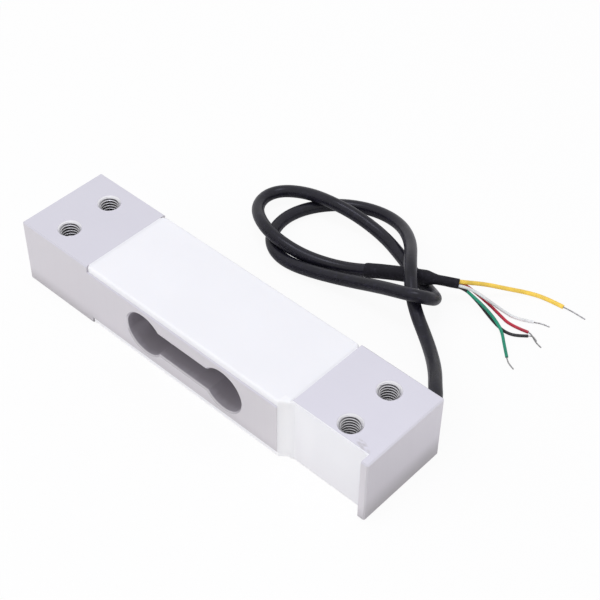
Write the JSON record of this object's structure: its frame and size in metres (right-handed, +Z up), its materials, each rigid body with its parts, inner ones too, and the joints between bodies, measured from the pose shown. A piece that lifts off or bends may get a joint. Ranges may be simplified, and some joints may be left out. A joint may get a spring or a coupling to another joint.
{
  "type": "parallel beam load cell",
  "caption": "Slim aluminium weighing beam with a binocular bore, silicone-sealed gauge recesses, tapped end holes and a black signal cable that ends in bare leads.",
  "frame": {"origin": "middle of the beam's underside", "axes": "+X along the beam towards the cable end, +Y across it towards the face that the cable leaves, +Z up"},
  "size_m": [0.1303, 0.098, 0.022],
  "materials": {
    "beam_metal": "fine machined and clear anodised, satin",
    "silicone": "white self-levelling silicone, soft sheen",
    "carrier_film": "amber polyimide film",
    "gauge_foil": "etched constantan foil",
    "enamelled_wire": "enamelled copper wire",
    "board_laminate": "green solder resist on glass laminate",
    "resistor_body": "black chip resistor",
    "cable_jacket": "black flexible jacket, soft sheen",
    "shrink_tubing": "black shrink tubing",
    "wire_tinned": "tinned copper strands",
    "insulation_red": "red lead insulation",
    "insulation_black": "black lead insulation",
    "insulation_green": "green lead insulation",
    "insulation_white": "white lead insulation",
    "insulation_yellow": "yellow lead insulation"
  },
  "bodies": {
    "root": {"beam": "beam_metal", "top_seal": "silicone", "bottom_seal": "silicone", "side_seal": "silicone", "cable_potting": "silicone", "cable_entry": "cable_jacket", "signal_cable": "cable_jacket", "shrink_sleeve": "shrink_tubing", "compensation_board": "board_laminate", "trim_resistors": "resistor_body", "span_resistor": "resistor_body", "gauge_wires_top": "enamelled_wire", "gauge_wires_bottom": "enamelled_wire", "gauge_film_top_left": "carrier_film", "gauge_grid_top_left": "gauge_foil", "gauge_film_top_right": "carrier_film", "gauge_grid_top_right": "gauge_foil", "gauge_film_bottom_left": "carrier_film", "gauge_grid_bottom_left": "gauge_foil", "gauge_film_bottom_right": "carrier_film", "gauge_grid_bottom_right": "gauge_foil", "core_red": "insulation_red", "core_black": "insulation_black", "core_green": "insulation_green", "core_white": "insulation_white", "lead_yellow": "insulation_yellow", "wire_end_yellow": "wire_tinned", "lead_green": "insulation_green", "wire_end_green": "wire_tinned", "lead_black": "insulation_black", "wire_end_black": "wire_tinned", "lead_white": "insulation_white", "wire_end_white": "wire_tinned", "lead_red": "insulation_red", "wire_end_red": "wire_tinned"}
  },
  "joints": []
}
